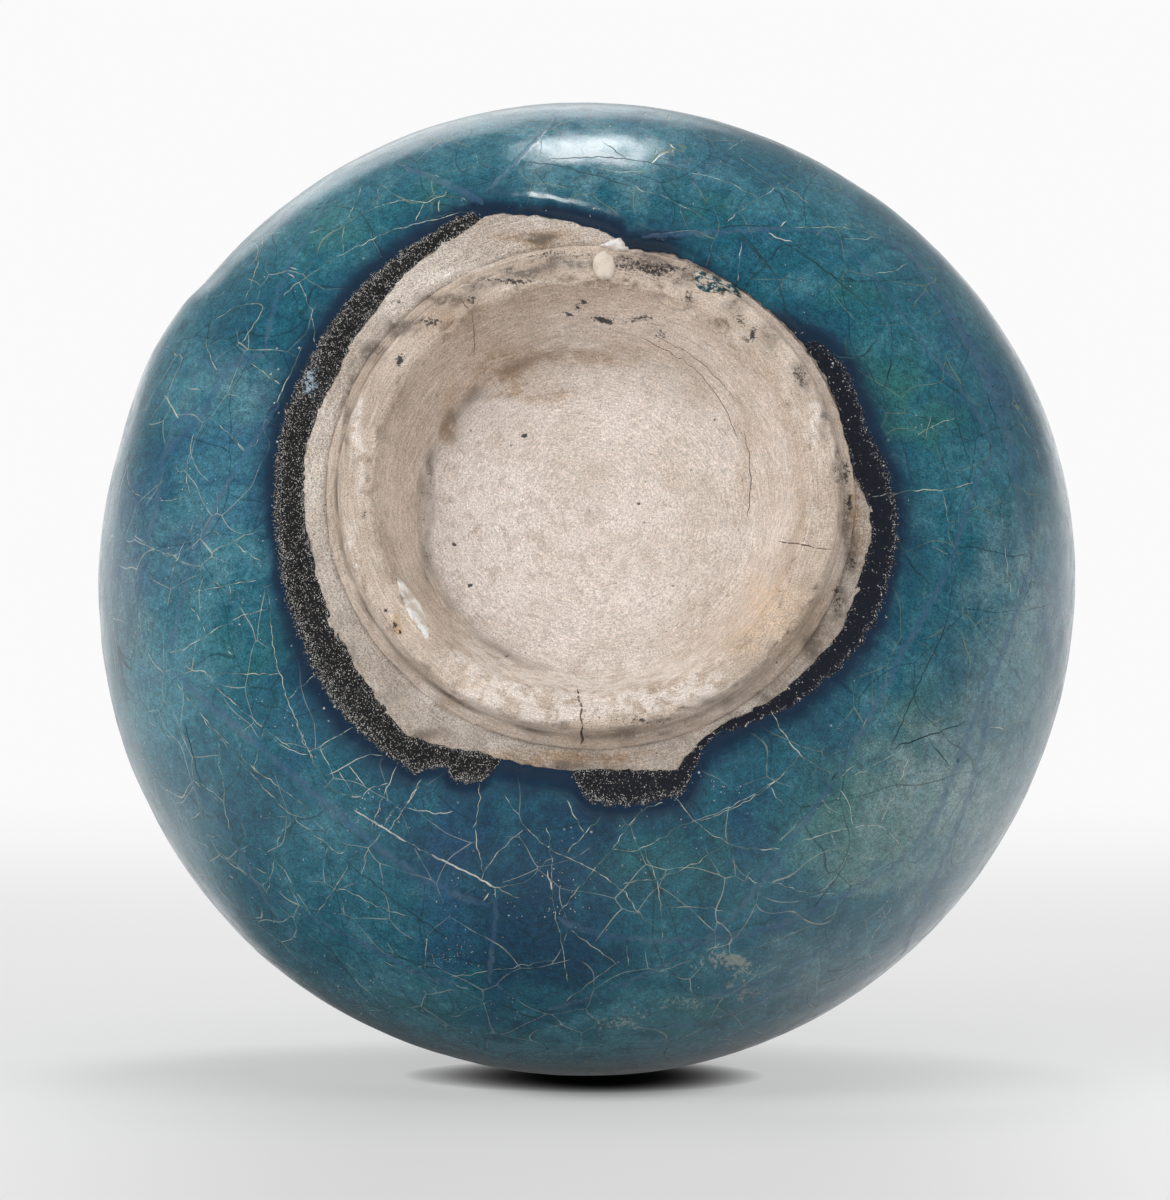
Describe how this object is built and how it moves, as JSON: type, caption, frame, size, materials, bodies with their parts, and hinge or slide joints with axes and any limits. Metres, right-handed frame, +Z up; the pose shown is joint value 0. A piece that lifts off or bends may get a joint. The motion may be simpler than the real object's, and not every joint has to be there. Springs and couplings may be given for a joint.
{
  "type": "pottery flask",
  "caption": "Round-bodied glazed pottery flask on a bare turned foot, mended from sherds, with a slim neck and a flared open mouth.",
  "frame": {"origin": "centre of the foot ring's resting face", "axes": "+Z up along the axis from foot to mouth; -Y is the side that is uppermost in the picture"},
  "size_m": [0.2, 0.2, 0.2636],
  "materials": {
    "bare_clay": "bare turned stone-paste, pale pinkish cream with fine turning marks",
    "stone_paste": "bare fired stone-paste, rough pale cream",
    "glaze": "glossy turquoise alkaline glaze, mottled and crazed, with overpaint along the mends",
    "plaster": "matt white plaster"
  },
  "bodies": {
    "root": {"foot_ring": "bare_clay", "base_floor": "bare_clay", "shoulder": "stone_paste", "neck": "stone_paste", "glaze_upper": "glaze", "wall_right": "stone_paste", "glaze_right": "glaze", "wall_left": "stone_paste", "glaze_left": "glaze", "wall_top_left": "stone_paste", "glaze_top_left": "glaze", "wall_top": "stone_paste", "glaze_top": "glaze", "wall_side": "stone_paste", "glaze_side": "glaze", "wall_upper_side": "stone_paste", "glaze_upper_side": "glaze", "wall_right_middle": "stone_paste", "glaze_right_middle": "glaze", "wall_right_outer": "stone_paste", "glaze_right_outer": "glaze", "wall_low_right": "stone_paste", "glaze_low_right": "glaze", "wall_low_left": "stone_paste", "glaze_low_left": "glaze", "wall_low_outer": "stone_paste", "glaze_low_outer": "glaze", "plaster_drop": "plaster", "plaster_smear": "plaster", "glaze_splash": "glaze"}
  },
  "joints": []
}
